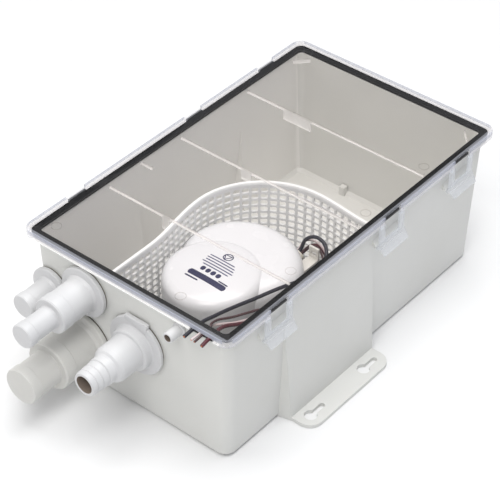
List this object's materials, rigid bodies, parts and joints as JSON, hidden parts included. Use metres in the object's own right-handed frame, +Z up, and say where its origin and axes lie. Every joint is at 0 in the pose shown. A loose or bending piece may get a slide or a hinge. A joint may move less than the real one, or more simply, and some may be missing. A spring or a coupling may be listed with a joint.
{
  "type": "shower sump pump",
  "caption": "Rectangular moulded sump with a clear latched lid, stepped hose spigots on one end, a barbed outlet, a curved strainer and a float-switched pump inside, on keyhole feet.",
  "frame": {"origin": "centre of the tub's flat underside", "axes": "+Z up, -Y towards the end wall with the hose fittings, +X towards the long side whose foot lies nearer the fittings"},
  "size_m": [0.2326, 0.3766, 0.1233],
  "materials": {
    "tub_plastic": "moulded, fine satin",
    "lid_clear": "clear, polished",
    "black_rubber": "matt black rubber",
    "fitting_white": "moulded, semi-gloss",
    "fitting_grey": "moulded, semi-gloss",
    "steel": "plain stainless",
    "strainer_white": "moulded, slightly translucent",
    "pump_white": "polished white",
    "bronze": "sintered bronze",
    "windings": "enamelled copper on laminations",
    "ferrite": "dark ceramic",
    "dark_plastic": "dark moulded",
    "float_foam": "closed-cell foam",
    "gland_plastic": "translucent nylon",
    "lead_black": "insulated lead",
    "lead_white": "insulated lead",
    "lead_brown": "insulated lead",
    "lead_red": "insulated lead"
  },
  "bodies": {
    "base": {"tub": "tub_plastic", "foot_near": "tub_plastic", "foot_far": "tub_plastic", "inlet_small": "fitting_white", "inlet_small_seal": "black_rubber", "inlet_small_clip": "steel", "inlet_medium": "fitting_white", "inlet_medium_seal": "black_rubber", "inlet_medium_nut": "fitting_white", "inlet_large": "fitting_grey", "inlet_large_seal": "black_rubber", "inlet_large_nut": "fitting_white", "outlet_barb": "fitting_white", "outlet_seal": "black_rubber", "outlet_nut": "fitting_white", "discharge_elbow": "black_rubber", "check_flap_pin": "steel", "discharge_hose": "black_rubber", "hose_clamps": "steel", "vent_nipple": "fitting_white", "lead_grommet": "black_rubber", "pump_base": "pump_white", "pump_base_screws": "steel", "volute": "pump_white", "shaft_seal": "black_rubber", "lower_bushing": "bronze", "upper_bushing": "bronze", "magnets": "ferrite", "brush_holder": "dark_plastic", "motor_can": "steel", "motor_housing": "pump_white", "motor_cap": "pump_white", "cap_ring": "black_rubber", "float_housing": "pump_white", "float_bracket": "pump_white", "float_pin": "steel", "float_switch": "dark_plastic", "cable_gland": "gland_plastic", "lead_black": "lead_black", "lead_white": "lead_white", "lead_brown": "lead_brown", "lead_red": "lead_red"},
    "lid": {"lid": "lid_clear", "lid_gasket": "black_rubber"},
    "strainer": {"strainer_front": "strainer_white", "strainer_bend_1": "strainer_white", "strainer_bend_2": "strainer_white", "strainer_side": "strainer_white"},
    "rotor": {"motor_shaft": "steel", "armature": "windings", "commutator": "bronze", "impeller": "pump_white"},
    "float": {"float": "float_foam"},
    "check_flap": {"check_flap": "black_rubber"},
    "latch_near_front": {"latch_near_front": "lid_clear"},
    "latch_near_middle": {"latch_near_middle": "lid_clear"},
    "latch_near_rear": {"latch_near_rear": "lid_clear"},
    "latch_far_front": {"latch_far_front": "lid_clear"},
    "latch_far_middle": {"latch_far_middle": "lid_clear"},
    "latch_far_rear": {"latch_far_rear": "lid_clear"}
  },
  "joints": [
    {"name": "lid_lift", "type": "slide", "parent": "base", "child": "lid", "axis": [0, 0, 1], "range_m": [0, 0.18]},
    {"name": "strainer_lift", "type": "slide", "parent": "base", "child": "strainer", "axis": [0, 0, 1], "range_m": [0, 0.1296]},
    {"name": "rotor_spin", "type": "hinge", "parent": "base", "child": "rotor", "pos_m": [0.021, -0.086, 0.04], "axis": [0, 0, 1], "continuous": true},
    {"name": "float_pivot", "type": "hinge", "parent": "base", "child": "float", "pos_m": [-0.006, -0.04, 0.017], "axis": [0, -1, 0], "range_deg": [0, 35]},
    {"name": "check_flap_pivot", "type": "hinge", "parent": "base", "child": "check_flap", "pos_m": [0.0076, -0.15578, 0.0767], "axis": [-1, 0, 0], "range_deg": [0, 55]},
    {"name": "latch_near_front_flex", "type": "hinge", "parent": "lid", "child": "latch_near_front", "pos_m": [0.0954, -0.104, 0.1166], "axis": [0, -1, 0], "range_deg": [0, 16], "stiffness_Nm_per_rad": 0.01},
    {"name": "latch_near_middle_flex", "type": "hinge", "parent": "lid", "child": "latch_near_middle", "pos_m": [0.0954, 0.026, 0.1166], "axis": [0, -1, 0], "range_deg": [0, 16], "stiffness_Nm_per_rad": 0.01},
    {"name": "latch_near_rear_flex", "type": "hinge", "parent": "lid", "child": "latch_near_rear", "pos_m": [0.0954, 0.1135, 0.1166], "axis": [0, -1, 0], "range_deg": [0, 16], "stiffness_Nm_per_rad": 0.01},
    {"name": "latch_far_front_flex", "type": "hinge", "parent": "lid", "child": "latch_far_front", "pos_m": [-0.0954, -0.104, 0.1166], "axis": [0, 1, 0], "range_deg": [0, 16], "stiffness_Nm_per_rad": 0.01},
    {"name": "latch_far_middle_flex", "type": "hinge", "parent": "lid", "child": "latch_far_middle", "pos_m": [-0.0954, 0.026, 0.1166], "axis": [0, 1, 0], "range_deg": [0, 16], "stiffness_Nm_per_rad": 0.01},
    {"name": "latch_far_rear_flex", "type": "hinge", "parent": "lid", "child": "latch_far_rear", "pos_m": [-0.0954, 0.1135, 0.1166], "axis": [0, 1, 0], "range_deg": [0, 16], "stiffness_Nm_per_rad": 0.01}
  ],
  "couplings": [
    {"joint": "strainer_lift", "follows": "lid_lift", "ratio": 0.72}
  ]
}
